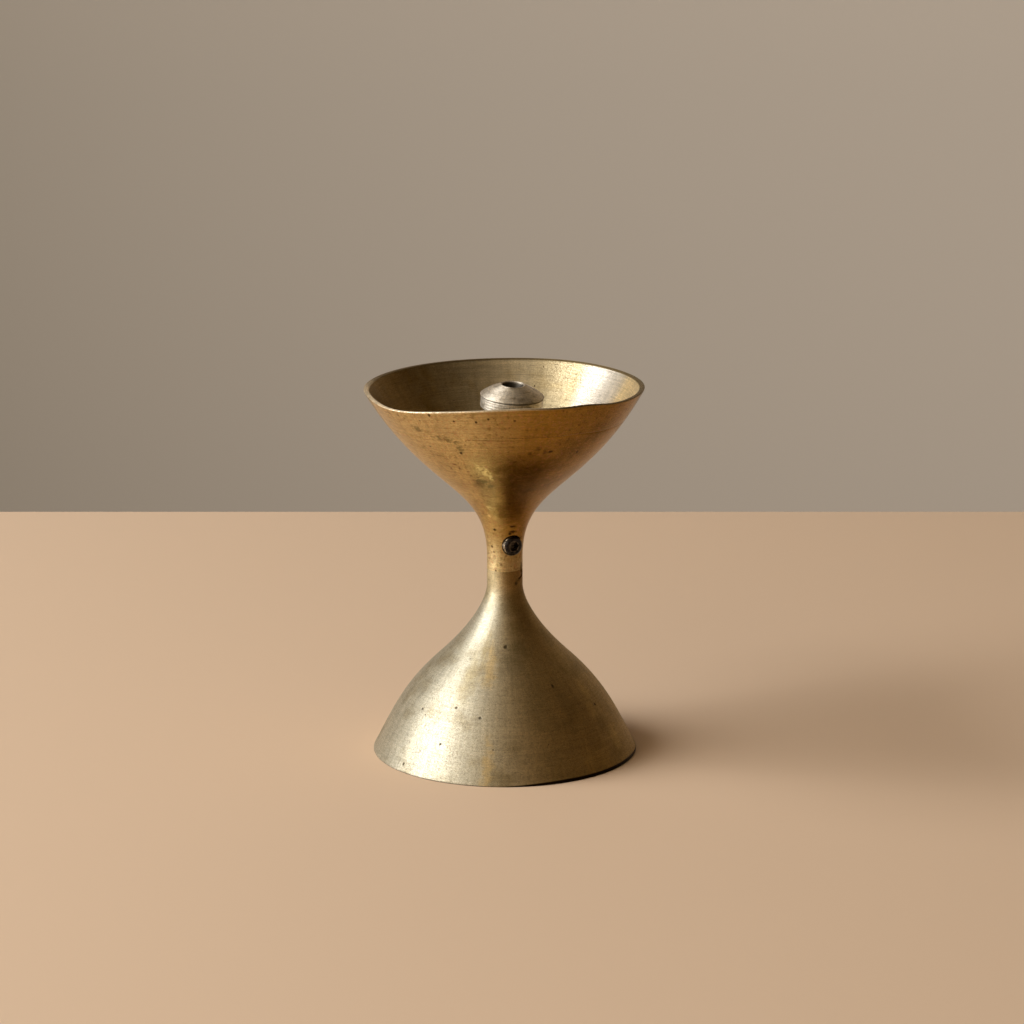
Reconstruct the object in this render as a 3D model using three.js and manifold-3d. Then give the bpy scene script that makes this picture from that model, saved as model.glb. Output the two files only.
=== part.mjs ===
// A turned brass oil lamp: a hollow bell foot, a bowl that sits on it over a stud in the narrow neck,
// a set screw that holds the bowl, and a wick tube with its collar and cap standing in the bowl.
// Millimetres, +Z up, origin at the middle of the foot where it meets the table.

import * as THREE from 'three';
import { mergeVertices } from 'three/addons/utils/BufferGeometryUtils.js';
import Module from 'manifold-3d';

const wasm = await Module();
wasm.setup();

// Foot
const footRadius = 28.8;
const footHeight = 40.4;
const footWall = 1.4;
const footLipLean = 28.6;
const footLipPull = 8.2;
const shoulderRadius = 14.5;
const shoulderHeight = 20.8;
const shoulderLean = 47.3;
const shoulderPull = 11.6;
const footNeckPull = 2.7;
const footNeckStraight = 3.4;
const footRoof = 3;

// Bowl
const neckRadius = 3.85;
const rimRadius = 30;
const rimHeight = 80.6;
const rimWall = 1;
const rootWall = 1.7;
const bowlNeckStraight = 2.6;
const bowlNeckPull = 16.7;
const rimPullOut = 12.3;
const rimPullDown = 22.8;
const bowlFloor = 3.5;
const neckChamfer = 0.2;

// Knocks in the rim: where each one is round the rim in degrees from +X, how far the lip is lifted
// there, and the half width of the knock in degrees. They fade out at knockDepth below the rim.
const knocks = [
  { at: 278, lift: 1.05, spread: 26 },
  { at: 307, lift: 0.5, spread: 11 },
  { at: 220, lift: -0.98, spread: 20 },
  { at: 176, lift: -0.42, spread: 40 },
  { at: 60, lift: 0.3, spread: 28 },
];
const knockDepth = 18;
const knockInward = 0.6;

// Neck stud
const studRadius = 2.5;
const studInFoot = 10;
const studInBowl = 8.8;
const studFit = 0.1;
const studEndGap = 0.3;
const studFlatOffset = 1.4;
const studChamfer = 0.5;

// Set screw
const screwRadius = 2;
const screwRise = 5.9;
const screwTurn = 23.5;
const screwProud = 1.15;
const screwFit = 0.15;
const screwSeatGap = 0.1;
const screwChamfer = 0.3;
const screwPointRadius = 1.1;
const screwPointLength = 0.6;
const screwKeyAcross = 2;
const screwKeyDepth = 1.4;
const flatBelowScrew = 1;

// Wick tube, collar and cap
const wickLeanSide = 3.5;
const wickLeanFront = 4.2;
const wickTubeRadius = 3;
const wickBoreRadius = 2.2;
const wickTubeBase = 1.5;
const wickSeatGap = 0.4;
const wickPegRadius = 1.5;
const wickPegLength = 2.3;
const wickPegGap = 0.3;
const oilHoleRadius = 0.9;
const oilHoleRise = 2.8;
const capAboveRim = 0.8;
const capRadius = 6.85;
const capHeight = 2.55;
const capEdgeRise = 0.2;
const capUndercut = 0.25;
const capEdgeLean = 50;
const capLipLean = 72;
const capPull = 1.3;
const capLipRadius = 2.95;
const capLipWall = 0.15;
const capCountersink = 0.25;
const capOnTube = 1.2;
const wickFit = 0.1;
const capGap = 0.2;
const collarRadius = 6.7;
const collarEdge = 2.45;
const collarSlope = 1.4;
const collarRootWall = 0.8;
const collarRelief = 0.3;
const collarGrooves = 2;
const collarGrooveWidth = 0.5;
const collarGrooveDepth = 0.15;

// How many flat sides stand for a round: large walls, the neck's bores, and small turned pieces
const wallSides = 64;
const boreSides = 32;
const smallSides = 32;
const holeSides = 16;
const hexSides = 6;
const footCurveSteps = 8;
const bowlCurveSteps = 14;
const capCurveSteps = 5;

// Heights that the pieces share
const screwHeight = footHeight + screwRise;
const studTop = footHeight + studInBowl;
const bowlFloorHeight = studTop + studEndGap + bowlFloor;
const wickHeight = rimHeight + capAboveRim - bowlFloorHeight;

// How far a cutting shape runs past the face that it opens, and how near points are to count as one
const cutPast = 1;
const samePoint = 1e-4;

const radians = THREE.MathUtils.degToRad;

// Material colours, as seen on the lamp
const finishes = {
  bowlBrass: { color: '#a8823f', roughness: 0.38, metalness: 1 },
  footBrass: { color: '#a39468', roughness: 0.34, metalness: 1 },
  studBrass: { color: '#a58c52', roughness: 0.5, metalness: 1 },
  wickBrass: { color: '#a79474', roughness: 0.36, metalness: 1 },
  screwSteel: { color: '#2b2a2c', roughness: 0.45, metalness: 0.9 },
};

// Points along a curve that leaves one point in one direction and reaches the other point from another
function sweep(steps, start, startPull, end, endPull) {
  const curve = new THREE.CubicBezierCurve(
    start,
    start.clone().add(startPull),
    end.clone().add(endPull),
    end,
  );
  return curve.getPoints(steps);
}

// A vector of a given length that leans in from the upright by an angle, going up
function leaningUp(length, lean) {
  return new THREE.Vector2(-length * Math.sin(radians(lean)), length * Math.cos(radians(lean)));
}

// The same line set off to its left by a distance that may change along it
function setOff(points, distanceAt) {
  const last = points.length - 1;
  return points.map((point, i) => {
    const before = points[Math.max(i - 1, 0)];
    const after = points[Math.min(i + 1, last)];
    const along = after.clone().sub(before).normalize();
    const left = new THREE.Vector2(-along.y, along.x);
    return point.clone().addScaledVector(left, distanceAt(i / last));
  });
}

// The part of a rising line between two heights, with new end points exactly on them
function between(points, low, high) {
  const at = (height) => {
    const found = points.findIndex((point, i) => i > 0 && point.y >= height);
    const over = points[found > 0 ? found : points.length - 1];
    const under = points[points.indexOf(over) - 1];
    const share = (height - under.y) / (over.y - under.y);
    return new THREE.Vector2(THREE.MathUtils.lerp(under.x, over.x, share), height);
  };
  const inside = points.filter((point) => point.y > low && point.y < high);
  return [at(low), ...inside, at(high)];
}

// A line turned round +Z. Its points run so that the metal is on their left.
function turned(points, sides) {
  const line = points.map((point) => (Array.isArray(point) ? new THREE.Vector2(...point) : point));
  return new THREE.LatheGeometry(line, sides).rotateX(Math.PI / 2);
}

// A closed geometry as a solid that can be joined and cut
function solidOf(geometry) {
  geometry.deleteAttribute('normal');
  geometry.deleteAttribute('uv');
  const merged = mergeVertices(geometry, samePoint);
  const index = merged.index.array;
  const triangles = [];
  for (let i = 0; i < index.length; i += 3) {
    const [a, b, c] = [index[i], index[i + 1], index[i + 2]];
    if (a !== b && b !== c && c !== a) triangles.push(a, b, c);
  }
  return new wasm.Manifold(new wasm.Mesh({
    numProp: 3,
    vertProperties: new Float32Array(merged.attributes.position.array),
    triVerts: new Uint32Array(triangles),
  }));
}

// A solid back as a geometry
function geometryOf(solid) {
  const mesh = solid.getMesh();
  const geometry = new THREE.BufferGeometry();
  geometry.setAttribute('position', new THREE.BufferAttribute(new Float32Array(mesh.vertProperties), 3));
  geometry.setIndex(new THREE.BufferAttribute(new Uint32Array(mesh.triVerts), 1));
  geometry.computeVertexNormals();
  return geometry;
}

function namedMesh(name, solid, finish) {
  const mesh = new THREE.Mesh(geometryOf(solid), new THREE.MeshStandardMaterial(finishes[finish]));
  mesh.name = name;
  return mesh;
}

// A round bar along +Z between two heights
function bar(radius, low, high, sides) {
  return turned([[0, low], [radius, low], [radius, high], [0, high]], sides);
}

// Turns +Z of a piece to the way that the set screw points
function alongScrew(geometry) {
  return geometry.rotateX(Math.PI / 2).rotateZ(radians(screwTurn)).translate(0, 0, screwHeight);
}

// The group that the wick tube, its collar and its cap share: it stands on the bowl's floor and leans
function leaningGroup() {
  const group = new THREE.Group();
  group.position.set(0, 0, bowlFloorHeight);
  group.rotation.set(radians(wickLeanFront), radians(wickLeanSide), 0);
  group.updateMatrix();
  return group;
}

function footBell() {
  const neckFoot = footHeight - footNeckStraight;
  const shoulder = new THREE.Vector2(shoulderRadius, shoulderHeight);
  const bell = sweep(
    footCurveSteps,
    new THREE.Vector2(footRadius, 0),
    leaningUp(footLipPull, footLipLean),
    shoulder,
    leaningUp(-shoulderPull, shoulderLean),
  );
  const flare = sweep(
    footCurveSteps,
    shoulder,
    leaningUp(shoulderPull, shoulderLean),
    new THREE.Vector2(neckRadius, neckFoot),
    new THREE.Vector2(0, -footNeckPull),
  );
  const outside = [...bell, ...flare.slice(1)];
  const boreEnd = footHeight - studInFoot - studEndGap;
  const roofHeight = boreEnd - footRoof;
  const inside = between(setOff(outside, () => footWall), 0, roofHeight);
  const shell = turned([
    [0, roofHeight],
    ...inside.reverse(),
    ...outside,
    [neckRadius, footHeight - neckChamfer],
    [neckRadius - neckChamfer, footHeight],
    [0, footHeight],
  ], wallSides);
  const bore = bar(studRadius + studFit, boreEnd, footHeight + cutPast, boreSides);
  return namedMesh('foot_bell', solidOf(shell).subtract(solidOf(bore)), 'footBrass');
}

// How far the knocks lift the lip at an angle round the rim
function lipLift(angle) {
  return knocks.reduce((sum, { at, lift, spread }) => {
    const away = THREE.MathUtils.euclideanModulo(angle - radians(at) + Math.PI, 2 * Math.PI) - Math.PI;
    return sum + lift * Math.exp(-((away / radians(spread)) ** 2));
  }, 0);
}

// Pushes the upper wall of the bowl in and up, or out and down, where the rim was knocked
function knockRim(geometry) {
  const place = geometry.attributes.position;
  for (let i = 0; i < place.count; i += 1) {
    const [x, y, z] = [place.getX(i), place.getY(i), place.getZ(i)];
    const reach = Math.max(0, 1 - (rimHeight - z) / knockDepth) ** 2;
    const radius = Math.hypot(x, y);
    const lift = reach > 0 ? lipLift(Math.atan2(y, x)) * reach : 0;
    const pull = radius > 0 ? 1 - knockInward * lift / radius : 1;
    place.setXYZ(i, x * pull, y * pull, z + lift);
  }
  return geometry;
}

function oilBowl(wickMatrix) {
  const neckTop = footHeight + bowlNeckStraight;
  const outside = sweep(
    bowlCurveSteps,
    new THREE.Vector2(neckRadius, neckTop),
    new THREE.Vector2(0, bowlNeckPull),
    new THREE.Vector2(rimRadius, rimHeight),
    new THREE.Vector2(-rimPullOut, -rimPullDown),
  );
  const wallAt = (share) => THREE.MathUtils.lerp(rootWall, rimWall, share);
  const inside = between(setOff(outside, wallAt), bowlFloorHeight, rimHeight);
  const wall = knockRim(turned([
    [0, footHeight],
    [neckRadius - neckChamfer, footHeight],
    [neckRadius, footHeight + neckChamfer],
    ...outside,
    ...inside.reverse(),
    [0, bowlFloorHeight],
  ], wallSides));
  const socket = bar(studRadius + studFit, footHeight - cutPast, studTop + studEndGap, boreSides);
  const screwHole = alongScrew(bar(screwRadius + screwFit, 0, neckRadius + screwProud + cutPast, holeSides));
  const pegHole = bar(wickPegRadius + wickPegGap, -wickPegLength, cutPast, holeSides)
    .applyMatrix4(wickMatrix);
  const bowl = [socket, screwHole, pegHole].reduce((rest, cut) => rest.subtract(solidOf(cut)), solidOf(wall));
  return namedMesh('oil_bowl', bowl, 'bowlBrass');
}

function neckStud() {
  const low = footHeight - studInFoot;
  const rod = turned([
    [0, low],
    [studRadius - studChamfer, low],
    [studRadius, low + studChamfer],
    [studRadius, studTop - studChamfer],
    [studRadius - studChamfer, studTop],
    [0, studTop],
  ], boreSides);
  const flatFoot = screwHeight - screwRadius - flatBelowScrew;
  const flatRun = studTop + cutPast - flatFoot;
  const flatCut = new THREE.BoxGeometry(2 * studRadius, studRadius, flatRun)
    .translate(0, -studFlatOffset - studRadius / 2, flatFoot + flatRun / 2)
    .rotateZ(radians(screwTurn));
  return namedMesh('neck_stud', solidOf(rod).subtract(solidOf(flatCut)), 'studBrass');
}

function grubScrew() {
  const point = studFlatOffset + screwSeatGap;
  const end = neckRadius + screwProud;
  const body = turned([
    [0, point],
    [screwPointRadius, point],
    [screwRadius, point + screwPointLength],
    [screwRadius, end - screwChamfer],
    [screwRadius - screwChamfer, end],
    [0, end],
  ], smallSides);
  const keyRadius = screwKeyAcross / 2 / Math.cos(Math.PI / hexSides);
  const key = bar(keyRadius, end - screwKeyDepth, end + cutPast, hexSides);
  return namedMesh('grub_screw', solidOf(alongScrew(body)).subtract(solidOf(alongScrew(key))), 'screwSteel');
}

function wickTube() {
  const top = wickHeight - capHeight + capOnTube - wickSeatGap;
  const tube = turned([
    [0, wickPegGap - wickPegLength],
    [wickPegRadius, wickPegGap - wickPegLength],
    [wickPegRadius, wickSeatGap],
    [wickTubeRadius, wickSeatGap],
    [wickTubeRadius, top],
    [wickBoreRadius, top],
    [wickBoreRadius, wickSeatGap + wickTubeBase],
    [0, wickSeatGap + wickTubeBase],
  ], smallSides);
  let rest = solidOf(tube);
  for (const turn of [0, Math.PI / 2]) {
    const cross = bar(oilHoleRadius, -wickTubeRadius - cutPast, wickTubeRadius + cutPast, holeSides)
      .rotateX(Math.PI / 2)
      .rotateZ(turn)
      .translate(0, 0, oilHoleRise);
    rest = rest.subtract(solidOf(cross));
  }
  return namedMesh('wick_tube', rest, 'wickBrass');
}

// The turned grooves in the collar's edge, evenly spaced between two heights
function edgeGrooves(low, high) {
  const pitch = (high - low) / (collarGrooves + 1);
  return Array.from({ length: collarGrooves }, (_, i) => low + pitch * (i + 1)).flatMap((middle) => [
    [collarRadius, middle - collarGrooveWidth / 2],
    [collarRadius - collarGrooveDepth, middle],
    [collarRadius, middle + collarGrooveWidth / 2],
  ]);
}

function wickCollar() {
  const top = wickHeight - capHeight - capGap;
  const bore = wickTubeRadius + wickFit;
  const edgeFoot = top - collarEdge;
  const collar = turned([
    [bore, edgeFoot - collarSlope],
    [bore + collarRootWall, edgeFoot - collarSlope],
    [collarRadius - collarRelief, edgeFoot],
    [collarRadius, edgeFoot + collarRelief],
    ...edgeGrooves(edgeFoot + collarRelief, top),
    [collarRadius, top],
    [bore, top],
    [bore, edgeFoot - collarSlope],
  ], smallSides);
  return namedMesh('wick_collar', solidOf(collar), 'wickBrass');
}

function wickCap() {
  const low = wickHeight - capHeight;
  const recess = wickTubeRadius + wickFit;
  const flank = sweep(
    capCurveSteps,
    new THREE.Vector2(capRadius, low + capEdgeRise),
    leaningUp(capPull, capEdgeLean),
    new THREE.Vector2(capLipRadius, wickHeight - capLipWall),
    leaningUp(-capPull, capLipLean),
  );
  const cap = turned([
    [recess, low],
    [capRadius - capUndercut, low],
    ...flank,
    [capLipRadius - capLipWall, wickHeight],
    [wickBoreRadius + capCountersink, wickHeight],
    [wickBoreRadius, wickHeight - capCountersink],
    [wickBoreRadius, low + capOnTube],
    [recess, low + capOnTube],
    [recess, low],
  ], smallSides);
  return namedMesh('wick_cap', solidOf(cap), 'wickBrass');
}

const wick = leaningGroup();
wick.add(wickTube(), wickCollar(), wickCap());

const lamp = new THREE.Group();
lamp.add(footBell(), neckStud(), oilBowl(wick.matrix), grubScrew(), wick);

export default lamp;
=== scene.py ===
import math
from types import SimpleNamespace

import bmesh
import bpy
from mathutils import Matrix, Vector


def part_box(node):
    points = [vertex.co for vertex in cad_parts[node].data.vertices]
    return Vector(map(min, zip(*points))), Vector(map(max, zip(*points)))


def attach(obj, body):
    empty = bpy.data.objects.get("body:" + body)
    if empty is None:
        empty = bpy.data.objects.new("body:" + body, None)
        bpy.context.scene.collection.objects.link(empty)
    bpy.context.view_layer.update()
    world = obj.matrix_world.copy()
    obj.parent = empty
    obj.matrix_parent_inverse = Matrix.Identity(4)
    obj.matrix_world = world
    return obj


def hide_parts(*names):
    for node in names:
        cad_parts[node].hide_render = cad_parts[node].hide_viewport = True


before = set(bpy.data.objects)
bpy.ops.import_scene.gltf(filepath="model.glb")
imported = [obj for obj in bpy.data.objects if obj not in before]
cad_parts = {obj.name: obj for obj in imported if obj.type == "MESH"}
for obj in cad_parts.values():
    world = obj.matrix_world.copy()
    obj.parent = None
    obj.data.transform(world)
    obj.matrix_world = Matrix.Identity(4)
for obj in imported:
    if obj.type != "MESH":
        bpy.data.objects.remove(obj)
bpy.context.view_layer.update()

# Sizes are in millimetres and degrees, as on a maker's drawing, and are turned to metres once
MM = 0.001


def node_box(name):
    """A node's lowest and highest corner in millimetres."""
    return [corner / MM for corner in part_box(name)]


# What the frame says
FOOT_RADIUS = node_box("foot_bell")[1].x
FOOT_HEIGHT = node_box("foot_bell")[1].z
STUD_RADIUS = node_box("neck_stud")[1].x
STUD_FOOT = node_box("neck_stud")[0].z
STUD_TOP = node_box("neck_stud")[1].z

# Foot
NECK_RADIUS = 3.85
FOOT_WALL = 1.4
FOOT_LIP_LEAN, FOOT_LIP_PULL = 28.6, 8.2
SHOULDER_RADIUS, SHOULDER_HEIGHT = 14.5, 20.8
SHOULDER_LEAN, SHOULDER_PULL = 47.3, 11.6
FOOT_NECK_PULL, FOOT_NECK_STRAIGHT = 2.7, 3.4
FOOT_ROOF = 3
ROOF_FILLET = 2.5
RING_INNER_ROUND, RING_OUTER_ROUND, RING_INNER_RUN = 0.12, 0.4, 0.4

# Bowl
RIM_RADIUS, RIM_HEIGHT = 30, 80.6
RIM_WALL, ROOT_WALL = 1, 1.7
BOWL_NECK_STRAIGHT, BOWL_NECK_PULL = 2.6, 16.7
RIM_PULL_OUT, RIM_PULL_DOWN = 12.3, 22.8
BOWL_FLOOR = 3.5
FLOOR_FILLET = 1.2
SEAM_ROUND = 0.07
LIP_ROUND = 0.4
SCORE_HEIGHT, SCORE_WIDTH, SCORE_DEPTH = 74.2, 0.4, 0.07

# Knocks in the rim: place round it, lift of the lip, half width
KNOCKS = [(278, 1.03, 26), (307, 0.5, 11), (220, -0.98, 20), (176, -0.42, 40), (60, 0.3, 28)]
KNOCK_DEPTH, KNOCK_INWARD = 18, 0.6

# Cracks of the casting at the neck's right: place round it, height and half width of each point
CRACKS = [
    [(336, 41.3, 0.2), (335, 40.8, 0.42), (339, 40.1, 0.36), (341, 39.5, 0.2)],
    [(343, 39.2, 0.3), (331, 38.8, 0.3), (320, 38.5, 0.22), (313, 38.1, 0.4), (307, 37.5, 0.34)],
]

# Neck stud and set screw
STUD_FIT, STUD_END_GAP = 0.1, 0.3
STUD_FLAT, STUD_CHAMFER = 1.4, 0.5
SCREW_RADIUS, SCREW_RISE, SCREW_TURN = 2, 5.9, 23.5
SCREW_PROUD, SCREW_FIT, SCREW_SEAT_GAP = 1.15, 0.15, 0.1
SCREW_CHAMFER = 0.3
SCREW_POINT_RADIUS, SCREW_POINT_LENGTH = 1.1, 0.6
SCREW_KEY_ACROSS, SCREW_KEY_DEPTH, SCREW_KEY_SIDES = 2, 1.4, 6
SCREW_SINK_RADIUS, SCREW_SINK_DEPTH = 2.35, 0.5
THREAD_PITCH, THREAD_DEPTH = 0.7, 0.3
FLAT_BELOW_SCREW = 1

# Wick tube, collar and cap. They lean to the front and to the right
WICK_LEAN = (4.2, 3.5)
TUBE_RADIUS, TUBE_BORE, TUBE_BASE = 3, 2.2, 1.5
SEAT_GAP = 0.4
PEG_RADIUS, PEG_LENGTH, PEG_GAP = 1.5, 2.3, 0.3
PEG_ROUND, TUBE_ROUND, TUBE_FLOOR_ROUND = 0.2, 0.15, 0.3
OIL_HOLE_RADIUS, OIL_HOLE_RISE = 0.9, 2.8
CAP_ABOVE_RIM = 0.8
CAP_RADIUS, CAP_HEIGHT, CAP_EDGE_RISE, CAP_UNDERCUT = 6.85, 2.55, 0.2, 0.25
CAP_EDGE_LEAN, CAP_LIP_LEAN, CAP_PULL = 50, 72, 1.3
CAP_LIP_RADIUS, CAP_LIP_WALL, CAP_COUNTERSINK = 2.95, 0.15, 0.25
CAP_ROUND, CAP_FOOT_ROUND = 0.1, 0.08
CAP_ON_TUBE, WICK_FIT, CAP_GAP = 1.2, 0.1, 0.2
COLLAR_RADIUS, COLLAR_EDGE, COLLAR_SLOPE = 6.7, 2.45, 1.4
COLLAR_ROOT_WALL, COLLAR_RELIEF, COLLAR_PULL = 0.8, 0.3, 0.5
COLLAR_ROUND, COLLAR_ROOT_ROUND = 0.1, 0.15
COLLAR_RIDGES, COLLAR_GROOVE_DEPTH = 4, 0.04
TOOL_PITCH, TOOL_DEPTH = 0.3, 0.03

# Heights that the pieces share
SCREW_HEIGHT = FOOT_HEIGHT + SCREW_RISE
BOWL_FLOOR_HEIGHT = STUD_TOP + STUD_END_GAP + BOWL_FLOOR
WICK_HEIGHT = RIM_HEIGHT + CAP_ABOVE_RIM - BOWL_FLOOR_HEIGHT
CAP_FOOT = WICK_HEIGHT - CAP_HEIGHT
COLLAR_TOP = CAP_FOOT - CAP_GAP

# How far a cutter reaches past what it cuts, and how near to a face a point counts as on it
CUT_PAST = 1
NEAR_FACE = 0.1

# How fine the meshes are
WALL_SIDES, SMALL_SIDES, HOLE_SIDES, CRACK_SIDES = 320, 160, 64, 12
CURVE_STEPS, THREAD_STEPS = 60, 60
ROUND_STEPS, ROOF_STEPS, SCORE_STEPS = 5, 8, 6
SAME_POINT = 0.0005
SHARP_ANGLE = 32

# The ring that a profile is swept along before it is drawn to the axis
SWEEP_RING = 100

# What the trees note on the points of a mesh
BELOW_RIM = "below_rim"
CRACK_WIDTH = "crack_width"

# What use left on the lamp, and painted light and shade: place round it, height, half spread in degrees and
# half height. Smears are old oil. Rubs are rubbed bright, and the three high on the bowl's front left are a
# painted reflection of the foot's highlight. Gilt marks are painted glints and reflections, shades are
# painted shade and dark reflections, and dull marks are a painted dark reflection of the bowl.
# FAR_OFF is a distance at which no mark shows.
FAR_OFF = 10
BOWL_PITS = [
    (238.5, 79.6, 0.6, 0.4), (248.7, 78.6, 0.5, 0.25), (258.1, 78.6, 0.5, 0.25), (263.4, 79.4, 0.5, 0.28),
    (274.3, 79, 0.5, 0.22), (247.3, 70.7, 0.8, 0.36), (294, 71, 1.2, 0.35), (312, 69.9, 0.7, 0.3),
    (226.5, 45.9, 4, 0.25), (233, 44.7, 3, 0.2), (243.5, 50, 4, 0.28), (240, 40.6, 4, 0.22),
]
BOWL_SMEARS = [(291, 49.5, 10, 0.36), (284, 49.1, 6, 0.34), (289, 50.8, 7, 0.26)]
BOWL_SPOTS = [(287, 71.9, 1.6, 0.5), (291, 71, 1.2, 0.7), (283, 70.8, 1, 0.4)]
BOWL_STAINS = [(242.8, 73.8, 2.4, 0.8), (238.5, 74.1, 1.6, 0.5), (246.5, 73.2, 1.8, 0.5), (229, 75.8, 2, 0.6),
               (247.5, 71.6, 1.6, 0.9), (254, 63.2, 4.5, 0.7), (259, 62, 3.5, 0.5)]
BOWL_RUBS_AND_REFLECTION = [(255, 67, 1.8, 0.8), (258, 66, 1.6, 0.9), (260.5, 64.9, 1.2, 0.8), (246, 55.6, 5, 0.5),
             (240, 53.4, 3.5, 0.4)]
BOWL_PAINTED_SHADE = [(250, 62.6, 5, 1.2), (262, 55, 8, 2), (272, 62.5, 15, 3.2), (277, 66.4, 14, 1.6),
               (296, 67, 14, 2.2), (305, 62, 22, 3.6), (308, 70.5, 9, 2.2), (318, 74, 7, 2.2)]
BOWL_SCRATCHES = [(240, 67.4, 1.4, 0.13), (242, 66.4, 1.2, 0.13), (232, 69.4, 1.3, 0.13),
                  (268, 74.2, 13, 0.1)]
CRACK_STAINS = [(338, 41, 8, 0.9), (340, 39.9, 8, 0.8), (310, 37.7, 6, 0.5)]
FOOT_PITS = [
    (219, 1.6, 0.7, 0.32), (237, 7.1, 0.7, 0.25), (216, 12.5, 0.9, 0.25), (240, 14.2, 0.9, 0.25),
    (256, 12.9, 1, 0.3), (271, 25.4, 2.2, 0.4), (306, 17.9, 1.1, 0.35), (333, 12.6, 0.9, 0.3),
]
FOOT_PAINTED_GLINTS = [(331, 15.2, 4, 1.6), (328, 12.6, 3, 1.6), (318, 2.6, 8, 2.4), (262, 3.5, 2.6, 4.5),
             (336, 5, 4, 3), (257, 21.4, 5, 2.8), (254, 24.2, 4, 1.6)]
FOOT_PAINTED_DARK_REFLECTION = [(277, 22.3, 12, 2.6), (284, 24.8, 12, 1.8)]
FOOT_PAINTED_SHADE = [(242, 20, 6.5, 4.5), (247, 24.5, 5, 3)]

# Heights between which a finish, a painted light or a painted shadow changes. The lip's are counted down from
# the rim
BOWL_NECK_FADE = (50, 41)
BOWL_LIT_FADE = (64, 76)
FOOT_NECK_FADE = (32, 39.8)
LIP_FADE = (0.35, 0.15)
# The painted contact shadow along the foot's ring: the heights it fades between, and how much higher it
# climbs
CONTACT_SHADOW_FADE, CONTACT_SHADOW_CLIMB = (0.22, 0.02), 0.6

# Soot round the wick's bore, and where the screw is rubbed bright on crests, flank and key hole
SOOT_PAST_BORE, SOOT_IN_BORE = 0.2, 0.05
CREST_FADE, FLANK_FADE, KEY_FADE = (0.16, 0.04), (0.75, 0.55), (0.2, 0.1)

# What the tools left: pitch along the flank in millimetres, and arc in degrees after which a line breaks.
# Real tool lines lie about 0.1 mm apart. That is too fine to show, so they are drawn 0.3 to 0.5 mm apart.
# Chatter is the faint bars up the flank that a shaking tool leaves. The fine grain isn't meant to show: it
# only mixes sharp and broad reflections, as brushed metal does.
TOOL_LINES, SHORT_STREAKS, BRUSH_GRAIN = (0.5, 40), (0.32, 7), (0.3, 1.0)
CHATTER, FINE_GRAIN = (14, 2.2), (0.09, 0.4)
CHATTER_SHADE = 0.1
LINE_DEPTH, STREAK_DEPTH, GRAIN_DEPTH, PIT_DEPTH = 0.012, 0.008, 0.014, 0.05
QUARTER_TURN = 0.25

# The camera of the photo: where it stood, how far it looked down, its lens and frame, and how near and far it
# sees in metres
CAMERA_PLACE = (1.55, -731.9, 232.7)
CAMERA_DOWN = 13.81
CAMERA_LENS, CAMERA_SENSOR = 123.05, 36
CAMERA_NEAR, CAMERA_FAR = 0.01, 20

# The stage: how wide it is, where the floor ends behind the lamp, where the wall stands, and how far to each
# side of the lamp its tone changes
STAGE_SIZE = 6000
FLOOR_BACK = 215
WALL_BACK = 1150
WALL_FADE = 350
STAGE_ROUGHNESS = 0.7

# The kinds of node that nearly every tree uses
MATH, VECTOR_MATH = "ShaderNodeMath", "ShaderNodeVectorMath"
MAP_RANGE, MIX = "ShaderNodeMapRange", "ShaderNodeMix"


def add(tree, kind, inputs=(), **settings):
    """Adds a node, sets it, fills or links its inputs by order or by name, and gives its first output."""
    node = tree.nodes.new(kind)
    for name, value in settings.items():
        setattr(node, name, value)
    in_order = [socket for socket in node.inputs if socket.enabled]
    pairs = inputs.items() if isinstance(inputs, dict) else enumerate(inputs)
    for key, value in pairs:
        socket = node.inputs[key] if isinstance(key, str) else in_order[key]
        if isinstance(value, bpy.types.NodeSocket):
            tree.links.new(value, socket)
        else:
            socket.default_value = value
    return next((socket for socket in node.outputs if socket.enabled), None)


def linear(colour):
    """An sRGB hex colour as the linear colour that a shader takes."""
    parts = [int(colour[i:i + 2], 16) / 255 for i in (1, 3, 5)]
    return [p / 12.92 if p <= 0.04045 else ((p + 0.055) / 1.055) ** 2.4 for p in parts] + [1.0]


# Outlines: points of radius and height, drawn so that the metal is on their left

def sweep(start, start_pull, end, end_pull, steps=CURVE_STEPS):
    """A curve that leaves one point in one direction and reaches the other point from another."""
    a, d = Vector(start), Vector(end)
    b, c = a + Vector(start_pull), d + Vector(end_pull)
    points = []
    for i in range(steps + 1):
        t = i / steps
        s = 1 - t
        points.append(a * s ** 3 + b * 3 * s * s * t + c * 3 * s * t * t + d * t ** 3)
    return points


def leaning_up(length, lean):
    """A step of one length that leans in towards the axis from upright."""
    angle = math.radians(lean)
    return (-length * math.sin(angle), length * math.cos(angle))


def set_off(points, distance_at):
    """The same line set off to its left by a distance that may change along it."""
    last = len(points) - 1
    moved = []
    for i, point in enumerate(points):
        along = (points[min(i + 1, last)] - points[max(i - 1, 0)]).normalized()
        moved.append(point + Vector((-along.y, along.x)) * distance_at(i / last))
    return moved


def between(points, low, high):
    """The part of a rising line between two heights, with new end points exactly on them."""
    def at(height):
        k = next((i for i, p in enumerate(points) if i and p.y >= height), len(points) - 1)
        share = (height - points[k - 1].y) / (points[k].y - points[k - 1].y)
        return Vector((points[k - 1].x + (points[k].x - points[k - 1].x) * share, height))
    return [at(low)] + [p for p in points if low < p.y < high] + [at(high)]


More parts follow.
